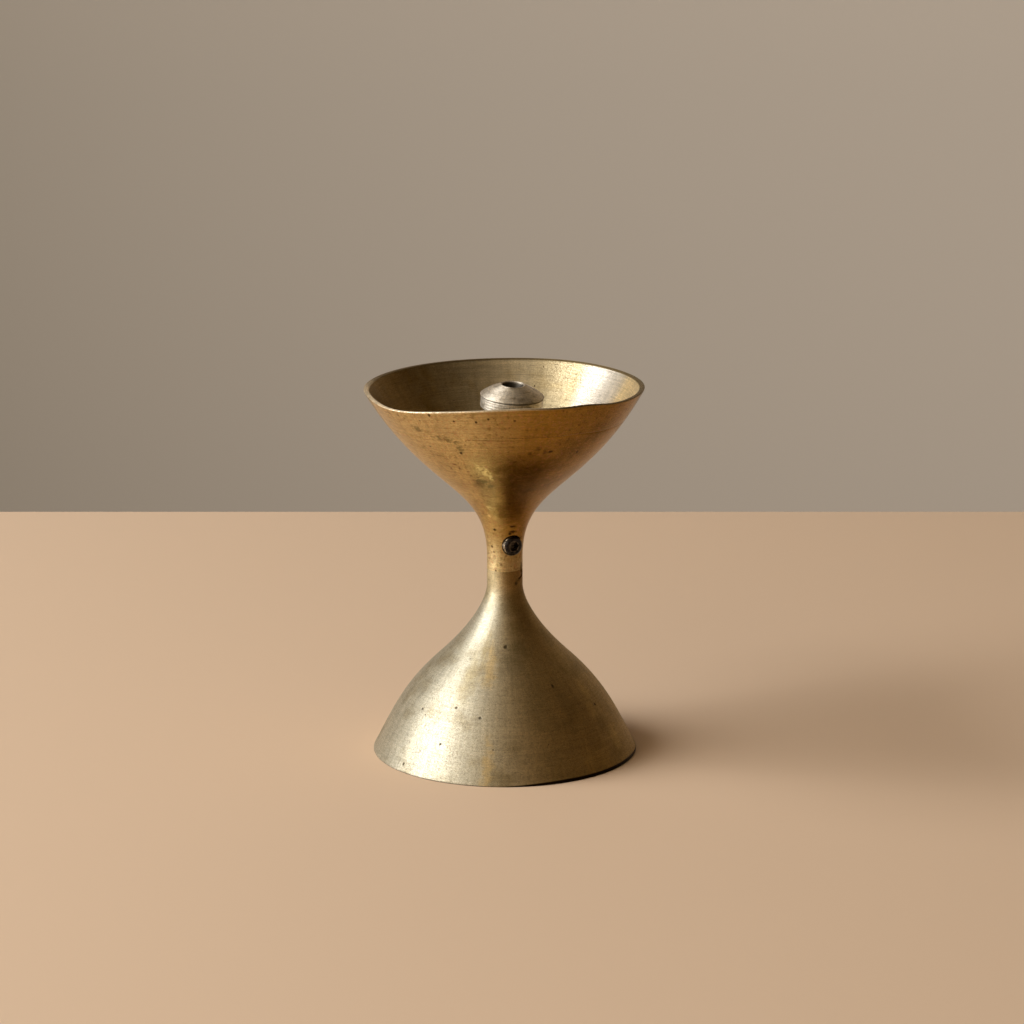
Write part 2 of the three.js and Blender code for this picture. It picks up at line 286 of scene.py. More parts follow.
def rounded(corners, steps=ROUND_STEPS):
    """A line through corners given as radius, height and, where one is rounded, how much."""
    line = []
    for i, corner in enumerate(corners):
        point = Vector(corner[:2])
        if len(corner) < 3:
            line.append(point)
            continue
        into = (Vector(corners[i - 1][:2]) - point).normalized() * corner[2]
        out = (Vector(corners[(i + 1) % len(corners)][:2]) - point).normalized() * corner[2]
        for k in range(steps + 1):
            t = k / steps
            line.append(point + into * (1 - t) ** 2 + out * t ** 2)
    return line


def ridged(points, count, depth):
    """A line cut into a number of equal rounded ridges, whose crests stay on it."""
    return set_off(points, lambda share: depth * (0.5 + 0.5 * math.cos(math.tau * count * share)) ** 2)


# Geometry Nodes trees

def new_tree(name, sizes):
    """An empty tree with a geometry socket, a named input for each size and one for the material."""
    tree = bpy.data.node_groups.new(name, "GeometryNodeTree")
    tree.interface.new_socket("Geometry", in_out="INPUT", socket_type="NodeSocketGeometry")
    for size, kind in sizes.items():
        tree.interface.new_socket(size, in_out="INPUT", socket_type=f"NodeSocket{kind}")
    tree.interface.new_socket("Material", in_out="INPUT", socket_type="NodeSocketMaterial")
    tree.interface.new_socket("Geometry", in_out="OUTPUT", socket_type="NodeSocketGeometry")
    return tree, tree.nodes.new("NodeGroupInput").outputs


def end_tree(tree, sizes, geometry):
    """Ends a tree in real geometry with its material set."""
    real = add(tree, "GeometryNodeRealizeInstances", {"Geometry": geometry})
    final = add(tree, "GeometryNodeSetMaterial", {"Geometry": real, "Material": sizes["Material"]})
    add(tree, "NodeGroupOutput", {"Geometry": final})
    return tree


def about_axis(tree, place):
    """The coordinates of a place, the way out to it from the axis and its distance from the axis."""
    parts = add(tree, "ShaderNodeSeparateXYZ", [place]).node.outputs
    flat = add(tree, "ShaderNodeCombineXYZ", [parts["X"], parts["Y"]])
    out = add(tree, VECTOR_MATH, [flat], operation="NORMALIZE")
    radius = add(tree, VECTOR_MATH, [flat], operation="LENGTH")
    return parts, out, radius


def polar(tree):
    """Height, angle round +Z, the way out from the axis and the distance from it, at each point."""
    parts, out, radius = about_axis(tree, add(tree, "GeometryNodeInputPosition"))
    angle = add(tree, MATH, [parts["Y"], parts["X"]], operation="ARCTAN2")
    return parts["Z"], angle, out, radius


def turning_tree():
    """Turns a line of radius and height round +Z. The line is swept along a ring and then drawn in."""
    tree, sizes = new_tree("turn a profile", {"Sides": "Int", "Ring": "Float", "Merge": "Float"})
    ring = add(tree, "GeometryNodeCurvePrimitiveCircle",
               {"Resolution": sizes["Sides"], "Radius": sizes["Ring"]})
    upright = add(tree, "GeometryNodeSetCurveNormal", {"Curve": ring}, mode="Z_UP")
    line = add(tree, "GeometryNodeMeshToCurve", {"Mesh": sizes["Geometry"]})
    swept = add(tree, "GeometryNodeCurveToMesh", {"Curve": upright, "Profile Curve": line})
    _, _, out, _ = polar(tree)
    back = add(tree, MATH, [sizes["Ring"], -1.0], operation="MULTIPLY")
    inward = add(tree, VECTOR_MATH, [out, back], operation="SCALE")
    drawn = add(tree, "GeometryNodeSetPosition", {"Geometry": swept, "Offset": inward})
    closed = add(tree, "GeometryNodeMergeByDistance", {"Geometry": drawn, "Distance": sizes["Merge"]})
    return end_tree(tree, sizes, closed)


def knocks_tree():
    """Lifts and draws in the rim where it was knocked: a soft bump round the rim that fades below it.
    It also notes on each point how far it lay below the rim before the knocks."""
    names = [f"Knock {i + 1} {what}" for i in range(len(KNOCKS)) for what in ("At", "Lift", "Spread")]
    tree, sizes = new_tree("knock the rim", {n: "Float" for n in ["Rim Height", "Depth", "Inward", *names]})
    height, angle, out, _ = polar(tree)
    below = add(tree, MATH, [sizes["Rim Height"], height], operation="SUBTRACT")
    noted = add(tree, "GeometryNodeStoreNamedAttribute",
                {"Geometry": sizes["Geometry"], "Name": BELOW_RIM, "Value": below})
    total = 0.0
    for i in range(len(KNOCKS)):
        away = add(tree, MATH, [angle, sizes[f"Knock {i + 1} At"]], operation="SUBTRACT")
        turned_away = add(tree, MATH, [away, math.pi, -math.pi], operation="WRAP")
        share = add(tree, MATH, [turned_away, sizes[f"Knock {i + 1} Spread"]], operation="DIVIDE")
        squared = add(tree, MATH, [share, share], operation="MULTIPLY")
        fading = add(tree, MATH, [squared, -1.0], operation="MULTIPLY")
        bump = add(tree, MATH, [fading], operation="EXPONENT")
        total = add(tree, MATH, [bump, sizes[f"Knock {i + 1} Lift"], total], operation="MULTIPLY_ADD")
    depth = add(tree, MATH, [below, sizes["Depth"]], operation="DIVIDE")
    reach = add(tree, MATH, [1.0, depth], operation="SUBTRACT", use_clamp=True)
    fade = add(tree, MATH, [reach, 2.0], operation="POWER")
    lift = add(tree, MATH, [total, fade], operation="MULTIPLY")
    inward = add(tree, MATH, [lift, sizes["Inward"]], operation="MULTIPLY")
    drawn = add(tree, MATH, [inward, -1.0], operation="MULTIPLY")
    sideways = add(tree, VECTOR_MATH, [out, drawn], operation="SCALE")
    upward = add(tree, "ShaderNodeCombineXYZ", {"Z": lift})
    move = add(tree, VECTOR_MATH, [sideways, upward], operation="ADD")
    moved = add(tree, "GeometryNodeSetPosition", {"Geometry": noted, "Offset": move})
    return end_tree(tree, sizes, moved)


def thread_tree():
    """Cuts a helical thread into the outside of a turned bar."""
    tree, sizes = new_tree("cut a thread",
                           {n: "Float" for n in ("Pitch", "Depth", "Outside", "Start", "End")})
    height, angle, out, radius = polar(tree)
    climbed = add(tree, MATH, [height, sizes["Pitch"]], operation="DIVIDE")
    turns = add(tree, MATH, [angle, math.tau], operation="DIVIDE")
    away = add(tree, MATH, [climbed, turns], operation="SUBTRACT")
    share = add(tree, MATH, [away], operation="FRACT")
    centred = add(tree, MATH, [share, 2.0, -1.0], operation="MULTIPLY_ADD")
    wave = add(tree, MATH, [centred], operation="ABSOLUTE")
    depth = add(tree, MATH, [wave, sizes["Depth"]], operation="MULTIPLY")
    for value, limit, test in ((radius, "Outside", "GREATER_THAN"), (height, "Start", "GREATER_THAN"),
                               (height, "End", "LESS_THAN")):
        inside = add(tree, MATH, [value, sizes[limit]], operation=test)
        depth = add(tree, MATH, [depth, inside], operation="MULTIPLY")
    back = add(tree, MATH, [depth, -1.0], operation="MULTIPLY")
    move = add(tree, VECTOR_MATH, [out, back], operation="SCALE")
    moved = add(tree, "GeometryNodeSetPosition", {"Geometry": sizes["Geometry"], "Offset": move})
    return end_tree(tree, sizes, moved)


def crack_tree():
    """Runs a round of changing width along a line of points, closed at both ends."""
    tree, sizes = new_tree("run a crack", {"Sides": "Int"})
    line = add(tree, "GeometryNodeMeshToCurve", {"Mesh": sizes["Geometry"]})
    ring = add(tree, "GeometryNodeCurvePrimitiveCircle", {"Resolution": sizes["Sides"], "Radius": 1.0})
    width = add(tree, "GeometryNodeInputNamedAttribute", {"Name": CRACK_WIDTH})
    swept = add(tree, "GeometryNodeCurveToMesh",
                {"Curve": line, "Profile Curve": ring, "Scale": width, "Fill Caps": True})
    return end_tree(tree, sizes, swept)


# Making pieces

def new_object(name, data):
    """An object in the scene with its mesh, lamp or camera."""
    new = bpy.data.objects.new(name, data)
    bpy.context.scene.collection.objects.link(new)
    return new


def as_plain_mesh(piece):
    """Replaces a piece's mesh by what its modifiers make of it, and removes them."""
    bpy.context.view_layer.update()
    shown = piece.evaluated_get(bpy.context.evaluated_depsgraph_get())
    mesh = bpy.data.meshes.new_from_object(shown)
    piece.modifiers.clear()
    piece.data = mesh
    return piece


def shaped_by(piece, tree, **sizes):
    """Runs a Geometry Nodes tree on a piece with its inputs set by name."""
    modifier = piece.modifiers.new(tree.name, "NODES")
    modifier.node_group = tree
    for socket in tree.interface.items_tree:
        if socket.item_type == "SOCKET" and socket.in_out == "INPUT" and socket.name in sizes:
            modifier[socket.identifier] = sizes[socket.name]
    return as_plain_mesh(piece)


def turned(name, line, material, sides=WALL_SIDES, closed=False):
    """A solid turned round +Z from a line of points in millimetres."""
    places = [(p[0] * MM, -p[1] * MM, 0) for p in line]
    edges = [(i, i + 1) for i in range(len(places) - 1)]
    if closed:
        edges.append((len(places) - 1, 0))
    mesh = bpy.data.meshes.new(name)
    mesh.from_pydata(places, edges, [])
    piece = new_object(name, mesh)
    shaped_by(piece, TURNING, Sides=sides, Ring=SWEEP_RING * MM, Merge=SAME_POINT * MM, Material=material)
    return outward(piece)


def outward(piece):
    """Points every face out and drops faces that fell together."""
    work = bmesh.new()
    work.from_mesh(piece.data)
    bmesh.ops.remove_doubles(work, verts=work.verts, dist=SAME_POINT * MM)
    bmesh.ops.dissolve_degenerate(work, edges=work.edges, dist=SAME_POINT * MM / 10)
    bmesh.ops.recalc_face_normals(work, faces=work.faces)
    if work.calc_volume(signed=True) < 0:
        bmesh.ops.reverse_faces(work, faces=work.faces)
    work.to_mesh(piece.data)
    work.free()
    return piece


def cut(piece, cutter):
    """Cuts one closed piece out of another."""
    modifier = piece.modifiers.new("cut", "BOOLEAN")
    modifier.operation = "DIFFERENCE"
    modifier.solver = "EXACT"
    modifier.object = cutter
    as_plain_mesh(piece)
    bpy.data.objects.remove(cutter)
    return piece


def smooth(piece):
    """Shades a piece smooth, apart from its sharp edges."""
    for face in piece.data.polygons:
        face.use_smooth = True
    piece.data.set_sharp_from_angle(angle=math.radians(SHARP_ANGLE))
    return piece


def placed(piece, matrix):
    """Puts a piece in its place by moving its mesh, so that its object stays at the origin."""
    piece.data.transform(matrix)
    return piece


def metres(*place):
    """A place given in millimetres."""
    return Vector(place) * MM


ALONG_SCREW = (
    Matrix.Translation(metres(0, 0, SCREW_HEIGHT))
    @ Matrix.Rotation(math.radians(SCREW_TURN), 4, "Z")
    @ Matrix.Rotation(math.radians(90), 4, "X")
)
WICK_PLACE = Matrix.Translation(metres(0, 0, BOWL_FLOOR_HEIGHT)) @ (
    Matrix.Rotation(math.radians(WICK_LEAN[0]), 4, "X") @ Matrix.Rotation(math.radians(WICK_LEAN[1]), 4, "Y")
)
TURNING = turning_tree()
KNOCKING = knocks_tree()
THREADING = thread_tree()
CRACKING = crack_tree()


def bar(radius, low, high, material, sides=SMALL_SIDES):
    """A plain bar along +Z to cut a hole with."""
    return turned("cutter", [(0, low), (radius, low), (radius, high), (0, high)], material, sides)


def cracked(piece, material):
    """Cuts the casting cracks, which run through both halves of the neck."""
    for crack in CRACKS:
        places = []
        for at, height, _ in crack:
            angle = math.radians(at)
            places.append(metres(NECK_RADIUS * math.cos(angle), NECK_RADIUS * math.sin(angle), height))
        mesh = bpy.data.meshes.new("cutter")
        mesh.from_pydata(places, [(i, i + 1) for i in range(len(places) - 1)], [])
        width = mesh.attributes.new(CRACK_WIDTH, "FLOAT", "POINT")
        width.data.foreach_set("value", [half * MM for _, _, half in crack])
        cutter = shaped_by(new_object("cutter", mesh), CRACKING, Sides=CRACK_SIDES, Material=material)
        cut(piece, outward(cutter))
    return piece


def foot_outline():
    """The outside of the foot: a bell up to its shoulder and a hollow flare up to the neck."""
    shoulder = (SHOULDER_RADIUS, SHOULDER_HEIGHT)
    bell = sweep((FOOT_RADIUS, 0), leaning_up(FOOT_LIP_PULL, FOOT_LIP_LEAN),
                 shoulder, leaning_up(-SHOULDER_PULL, SHOULDER_LEAN))
    flare = sweep(shoulder, leaning_up(SHOULDER_PULL, SHOULDER_LEAN),
                  (NECK_RADIUS, FOOT_HEIGHT - FOOT_NECK_STRAIGHT), (0, -FOOT_NECK_PULL))
    return bell + flare[1:]


def foot_bell(material):
    """A hollow bell with an even wall, a roof under the neck and a bore for the stud."""
    outside = foot_outline()
    roof = STUD_FOOT - STUD_END_GAP - FOOT_ROOF
    inside = between(set_off(outside, lambda share: FOOT_WALL), 0, roof)
    bore = STUD_RADIUS + STUD_FIT
    top = rounded([
        (NECK_RADIUS, FOOT_HEIGHT - SEAM_ROUND * 2),
        (NECK_RADIUS, FOOT_HEIGHT, SEAM_ROUND),
        (bore, FOOT_HEIGHT, SEAM_ROUND),
        (bore, STUD_FOOT - STUD_END_GAP),
        (0, STUD_FOOT - STUD_END_GAP),
    ])
    under = [p for p in inside if p.y < roof - ROOF_FILLET]
    roof_round = rounded([(0, roof), (inside[-1].x, roof, ROOF_FILLET), tuple(under[-1])], steps=ROOF_STEPS)
    ring = rounded([tuple(inside[0] + Vector((0, RING_INNER_RUN))), (inside[0].x, 0, RING_INNER_ROUND),
                    (outside[0].x, 0, RING_OUTER_ROUND), tuple(outside[2])])
    line = roof_round[:-1] + under[::-1][:-1] + ring + outside[3:] + top
    return cracked(turned("foot_bell_brass", line, material), material)


def bowl_outline():
    """The outside of the bowl, from its neck to the rim."""
    return sweep((NECK_RADIUS, FOOT_HEIGHT + BOWL_NECK_STRAIGHT), (0, BOWL_NECK_PULL),
                 (RIM_RADIUS, RIM_HEIGHT), (-RIM_PULL_OUT, -RIM_PULL_DOWN), steps=2 * CURVE_STEPS)


def scored(points):
    """The outside line with one shallow scored groove."""
    low, high = SCORE_HEIGHT - SCORE_WIDTH / 2, SCORE_HEIGHT + SCORE_WIDTH / 2
    groove = between(points, low, high)
    line = [groove[0].lerp(groove[-1], i / SCORE_STEPS) for i in range(SCORE_STEPS + 1)]
    line = set_off(line, lambda share: SCORE_DEPTH * math.sin(math.pi * share) ** 2)
    return [p for p in points if p.y < low] + line + [p for p in points if p.y > high]


def oil_bowl(material):
    """A thin flared cup on a neck that slides over the stud, with two holes and a knocked rim."""
    outline = bowl_outline()
    inside = between(set_off(outline, lambda share: ROOT_WALL + (RIM_WALL - ROOT_WALL) * share),
                     BOWL_FLOOR_HEIGHT, RIM_HEIGHT)
    bore = STUD_RADIUS + STUD_FIT
    socket_top = STUD_TOP + STUD_END_GAP
    neck = rounded([
        (0, socket_top),
        (bore, socket_top),
        (bore, FOOT_HEIGHT, SEAM_ROUND),
        (NECK_RADIUS, FOOT_HEIGHT, SEAM_ROUND),
        (NECK_RADIUS, FOOT_HEIGHT + SEAM_ROUND * 2),
    ])
    lip = rounded([tuple(outline[-3]), (RIM_RADIUS, RIM_HEIGHT, LIP_ROUND),
                   (inside[-1].x, RIM_HEIGHT, LIP_ROUND), tuple(inside[-4])])
    low = [p for p in inside if p.y > BOWL_FLOOR_HEIGHT + FLOOR_FILLET][:-4]
    floor = rounded([tuple(low[0]), (inside[0].x, BOWL_FLOOR_HEIGHT, FLOOR_FILLET), (0, BOWL_FLOOR_HEIGHT)])
    line = neck + scored(outline[:-3]) + lip + low[::-1][:-1] + floor
    bowl = cracked(turned("oil_bowl_brass", line, material), material)
    past, mouth = NECK_RADIUS + SCREW_PROUD + CUT_PAST, NECK_RADIUS - SCREW_SINK_DEPTH
    screw_hole = turned("cutter", [(0, 0), (SCREW_RADIUS + SCREW_FIT, 0), (SCREW_RADIUS + SCREW_FIT, mouth),
                                   (SCREW_SINK_RADIUS, NECK_RADIUS), (SCREW_SINK_RADIUS, past), (0, past)],
                        material, SMALL_SIDES)
    cut(bowl, placed(screw_hole, ALONG_SCREW))
    peg_hole = bar(PEG_RADIUS + PEG_GAP, -PEG_LENGTH, CUT_PAST, material)
    cut(bowl, placed(peg_hole, WICK_PLACE))
    sizes = {"Rim Height": RIM_HEIGHT * MM, "Depth": KNOCK_DEPTH * MM, "Inward": KNOCK_INWARD,
             "Material": material}
    for i, (at, lift, spread) in enumerate(KNOCKS):
        sizes |= {f"Knock {i + 1} At": math.radians(at), f"Knock {i + 1} Lift": lift * MM,
                  f"Knock {i + 1} Spread": math.radians(spread)}
    return shaped_by(bowl, KNOCKING, **sizes)


def neck_stud(material):
    """A round stud with a flat that the set screw bears on."""
    rod = turned("neck_stud_brass", rounded([
        (0, STUD_FOOT), (STUD_RADIUS, STUD_FOOT, STUD_CHAMFER),
        (STUD_RADIUS, STUD_TOP, STUD_CHAMFER), (0, STUD_TOP)]), material, SMALL_SIDES)
    foot = SCREW_HEIGHT - SCREW_RADIUS - FLAT_BELOW_SCREW
    run = STUD_TOP + CUT_PAST - foot
    mesh = bpy.data.meshes.new("cutter")
    work = bmesh.new()
    bmesh.ops.create_cube(work, size=1)
    bmesh.ops.scale(work, vec=metres(2 * STUD_RADIUS, STUD_RADIUS, run), verts=work.verts)
    bmesh.ops.translate(work, vec=metres(0, -STUD_FLAT - STUD_RADIUS / 2, foot + run / 2), verts=work.verts)
    work.to_mesh(mesh)
    work.free()
    return cut(rod, placed(new_object("cutter", mesh), Matrix.Rotation(math.radians(SCREW_TURN), 4, "Z")))


def grub_screw(material):
    """A socket set screw: a thinner point, a cut thread and a hexagon key hole."""
    point, end = STUD_FLAT + SCREW_SEAT_GAP, NECK_RADIUS + SCREW_PROUD
    start, stop = point + SCREW_POINT_LENGTH, end - SCREW_CHAMFER
    flank = [(SCREW_RADIUS, start + (stop - start) * i / THREAD_STEPS) for i in range(THREAD_STEPS + 1)]
    line = [(0, point), (SCREW_POINT_RADIUS, point), *flank, (SCREW_RADIUS - SCREW_CHAMFER, end), (0, end)]
    screw = turned("grub_screw_steel", line, material, SMALL_SIDES)
    shaped_by(screw, THREADING, Pitch=THREAD_PITCH * MM, Depth=THREAD_DEPTH * MM,
              Outside=(SCREW_RADIUS - NEAR_FACE) * MM, Start=start * MM, End=stop * MM, Material=material)
    corner = SCREW_KEY_ACROSS / 2 / math.cos(math.pi / SCREW_KEY_SIDES)
    cut(screw, bar(corner, end - SCREW_KEY_DEPTH, end + CUT_PAST, material, SCREW_KEY_SIDES))
    return placed(screw, ALONG_SCREW)


def wick_tube(material):
    """A tube with a closed foot, a peg that stands in the bowl's floor and two cross bores for the oil."""
    top = CAP_FOOT + CAP_ON_TUBE - SEAT_GAP
    tube = turned("wick_tube_brass", rounded([
        (0, PEG_GAP - PEG_LENGTH),
        (PEG_RADIUS, PEG_GAP - PEG_LENGTH, PEG_ROUND),
        (PEG_RADIUS, SEAT_GAP),
        (TUBE_RADIUS, SEAT_GAP, TUBE_ROUND),
        (TUBE_RADIUS, top, TUBE_ROUND),
        (TUBE_BORE, top, TUBE_ROUND),
        (TUBE_BORE, SEAT_GAP + TUBE_BASE, TUBE_FLOOR_ROUND),
        (0, SEAT_GAP + TUBE_BASE)]), material, SMALL_SIDES)
    for turn in (0, 90):
        cross = bar(OIL_HOLE_RADIUS, -TUBE_RADIUS - CUT_PAST, TUBE_RADIUS + CUT_PAST, material, HOLE_SIDES)
        across = Matrix.Rotation(math.radians(turn), 4, "Z") @ Matrix.Rotation(math.radians(90), 4, "X")
        cut(tube, placed(cross, Matrix.Translation(metres(0, 0, OIL_HOLE_RISE)) @ across))
    return placed(tube, WICK_PLACE)


def wick_collar(material):
    """A disc on the tube, with grooves round its edge and a slope under it."""
    bore = TUBE_RADIUS + WICK_FIT
    edge_foot = COLLAR_TOP - COLLAR_EDGE
    under = rounded([
        (bore, edge_foot - COLLAR_SLOPE, COLLAR_ROUND),
        (bore + COLLAR_ROOT_WALL, edge_foot - COLLAR_SLOPE, COLLAR_ROOT_ROUND),
        (COLLAR_RADIUS - COLLAR_RELIEF, edge_foot, COLLAR_ROUND)])
    low, high = (COLLAR_RADIUS, edge_foot + COLLAR_RELIEF), (COLLAR_RADIUS, COLLAR_TOP)
    straight = sweep(low, (0, COLLAR_PULL), high, (0, -COLLAR_PULL))
    edge = ridged(straight, COLLAR_RIDGES, COLLAR_GROOVE_DEPTH)
    line = under + edge + [(bore, COLLAR_TOP)]
    return placed(turned("wick_collar_brass", line, material, SMALL_SIDES, closed=True), WICK_PLACE)


def wick_cap(material):
    """A cone with tool ridges, a flat lip round the wick's hole and a recess that sits on the tube."""
    recess = TUBE_RADIUS + WICK_FIT
    flank = sweep((CAP_RADIUS, CAP_FOOT + CAP_EDGE_RISE), leaning_up(CAP_PULL, CAP_EDGE_LEAN),
                  (CAP_LIP_RADIUS, WICK_HEIGHT - CAP_LIP_WALL), leaning_up(-CAP_PULL, CAP_LIP_LEAN),
                  steps=2 * CURVE_STEPS)
    ridges = round((flank[0] - flank[-1]).length / TOOL_PITCH)
    low = rounded([(recess, CAP_FOOT, CAP_ROUND), (CAP_RADIUS - CAP_UNDERCUT, CAP_FOOT, CAP_FOOT_ROUND)])
    top = rounded([(*corner, CAP_ROUND) for corner in (
        (CAP_LIP_RADIUS - CAP_LIP_WALL, WICK_HEIGHT),
        (TUBE_BORE + CAP_COUNTERSINK, WICK_HEIGHT),
        (TUBE_BORE, WICK_HEIGHT - CAP_COUNTERSINK),
        (TUBE_BORE, CAP_FOOT + CAP_ON_TUBE),
        (recess, CAP_FOOT + CAP_ON_TUBE))])
    line = low + ridged(flank, ridges, TOOL_DEPTH) + top
    return placed(turned("wick_cap_brass", line, material, SMALL_SIDES, closed=True), WICK_PLACE)


# Materials. Patterns are laid in millimetres on the pieces' own places

SOFT_EDGE = {"interpolation_type": "SMOOTHSTEP"}


def new_material(name):
    """A material with its nodes and its shader."""
    material = bpy.data.materials.new(name)
    material.use_nodes = True
    return material, material.node_tree, material.node_tree.nodes["Principled BSDF"]


def skin_of(tree, flare, lean=None):
    """Where a point of a turned surface is, in millimetres.
    The rise goes on evenly along a flank that widens upwards (flare 1) or narrows upwards (flare -1)."""
    place = add(tree, "ShaderNodeTexCoord").node.outputs["Object"]
    if lean:
        place = add(tree, "ShaderNodeMapping",
                    {"Vector": place, "Location": lean.translation, "Rotation": lean.to_euler()},
                    vector_type="TEXTURE")
    at = add(tree, VECTOR_MATH, [place, 1 / MM], operation="SCALE")
    parts, out, radius = about_axis(tree, at)
    upward = add(tree, "ShaderNodeCombineXYZ", {"Z": parts["Z"]})
    wrap = add(tree, VECTOR_MATH, [out, upward], operation="ADD")
    rise = add(tree, MATH, [radius, flare, parts["Z"]], operation="MULTIPLY_ADD")
    return SimpleNamespace(at=at, height=parts["Z"], out=out, radius=radius, wrap=wrap, rise=rise)


def turning_lines(tree, skin, pitch, arc, detail=3.0):
    """The lines that a cutting tool leaves round a turned piece, a pitch apart and broken after an arc."""
    around = add(tree, VECTOR_MATH, [skin.out, 1 / math.radians(arc)], operation="SCALE")
    climbed = add(tree, MATH, [skin.rise, 1 / pitch], operation="MULTIPLY")
    upward = add(tree, "ShaderNodeCombineXYZ", {"Z": climbed})
    spot = add(tree, VECTOR_MATH, [around, upward], operation="ADD")
    return add(tree, "ShaderNodeTexNoise", {"Vector": spot, "Scale": 1.0, "Detail": detail, "Roughness": 0.6})


def patches(tree, skin, size, low, high, most=1.0, detail=3.0, aside=0.0):
    """Soft irregular patches of one size in millimetres. The mask rises to most where their noise goes from
    low to high. A second layer is set aside from the first."""
    spot = add(tree, VECTOR_MATH, [skin.at, (aside, aside, aside)], operation="ADD")
    noise = add(tree, "ShaderNodeTexNoise",
                {"Vector": spot, "Scale": 1 / size, "Detail": detail, "Roughness": 0.55, "Distortion": 0.3})
    return add(tree, MAP_RANGE, [noise, low, high, 0.0, most], **SOFT_EDGE)


def pits(tree, skin, spacing, size, share):
    """Small pits of the casting, with spacing and size in millimetres. Only a share of the cells has one."""
    cells = add(tree, "ShaderNodeTexVoronoi", {"Vector": skin.at, "Scale": 1 / spacing}).node.outputs
    chance = add(tree, "ShaderNodeSeparateXYZ", [cells["Color"]])
    limit = add(tree, MAP_RANGE, [chance, 1 - share, 1.0, 0.0, size / spacing])
    inside = add(tree, MATH, [limit, cells["Distance"]], operation="SUBTRACT")
    return add(tree, MAP_RANGE, [inside, 0.0, 0.5 * size / spacing], **SOFT_EDGE)


def side(tree, skin, at, low, high, most=1.0):
    """A mask that rises to most on the side of the lamp that faces a place round it."""
    towards = (math.cos(math.radians(at)), math.sin(math.radians(at)), 0)
    facing = add(tree, VECTOR_MATH, [skin.out, towards], operation="DOT_PRODUCT")
    return add(tree, MAP_RANGE, [facing, low, high, 0.0, most], **SOFT_EDGE)


def marks(tree, skin, rows, most=1.0, ragged=0.8, grain=0.6, soft=1.0):
    """One mask for a list of marks. Their edges are ragged by a grain and fade over a soft share of each."""
    nearest = FAR_OFF
    for at, height, spread, reach in rows:
        angle, wide = math.radians(at), 1 / math.radians(spread)
        centre = (math.cos(angle), math.sin(angle), height)
        away = add(tree, VECTOR_MATH, [skin.wrap, centre], operation="SUBTRACT")
        scaled = add(tree, VECTOR_MATH, [away, (wide, wide, 1 / reach)], operation="MULTIPLY")
        distance = add(tree, VECTOR_MATH, [scaled], operation="LENGTH")
        nearest = add(tree, MATH, [nearest, distance], operation="MINIMUM")
    rough = add(tree, "ShaderNodeTexNoise", {"Vector": skin.at, "Scale": 1 / grain, "Detail": 3.0})
    centred = add(tree, MATH, [rough, 0.5], operation="SUBTRACT")
    edge = add(tree, MATH, [centred, 4 * ragged, nearest], operation="MULTIPLY_ADD")
    return add(tree, MAP_RANGE, [edge, 1 + 0.6 * soft, 1 - 0.8 * soft, 0.0, most], **SOFT_EDGE)


def tinted(tree, colour, layers):
    """A colour with tints laid over it one after another, each through its own mask."""
    for mask, tint in layers:
        colour = add(tree, MIX, [mask, colour, linear(tint)], data_type="RGBA")
    return colour


def finished(shader, tree, skin, colour, smoothest, roughest,
             stretch=0.5, streak=0.1, speckle=0.1, dents=0.0):
    """What every turned piece here shares: tool lines, streaks, grain and chatter in its colour, and all but
    the chatter in its relief. The fine grain takes the gloss from smoothest to roughest, and the small
    grooves of the tool stretch it across them."""
    lines = turning_lines(tree, skin, *TOOL_LINES)
    streaks = turning_lines(tree, skin, *SHORT_STREAKS)
    grain = turning_lines(tree, skin, *BRUSH_GRAIN, 2.0)
    chatter = turning_lines(tree, skin, *CHATTER, 2.0)
    shade = 1.0
    for pattern, depth in ((lines, streak), (streaks, streak), (grain, speckle), (chatter, CHATTER_SHADE)):
        darker = add(tree, MAP_RANGE, [pattern, 0.3, 0.7, 1 - depth, 1 + 0.7 * depth])
        shade = add(tree, MATH, [shade, darker], operation="MULTIPLY")
    tone = add(tree, VECTOR_MATH, [colour, shade], operation="SCALE")
    tree.links.new(tone, shader.inputs["Base Color"])
    shader.inputs["Metallic"].default_value = 1.0
    fine = turning_lines(tree, skin, *FINE_GRAIN, 1.0)
    gloss = add(tree, MAP_RANGE, [fine, 0.4, 0.6, smoothest, roughest])
    tree.links.new(gloss, shader.inputs["Roughness"])
    shader.inputs["Anisotropic"].default_value = stretch
    shader.inputs["Anisotropic Rotation"].default_value = QUARTER_TURN
    round_axis = add(tree, "ShaderNodeTangent", direction_type="RADIAL", axis="Z")
    tree.links.new(round_axis, shader.inputs["Tangent"])
    relief = add(tree, MATH, [lines, LINE_DEPTH], operation="MULTIPLY")
    for pattern, depth in ((streaks, STREAK_DEPTH), (grain, GRAIN_DEPTH), (dents, -PIT_DEPTH)):
        relief = add(tree, MATH, [pattern, depth, relief], operation="MULTIPLY_ADD")
    bumped = add(tree, "ShaderNodeBump", {"Strength": 1.0, "Distance": MM, "Height": relief})
    tree.links.new(bumped, shader.inputs["Normal"])


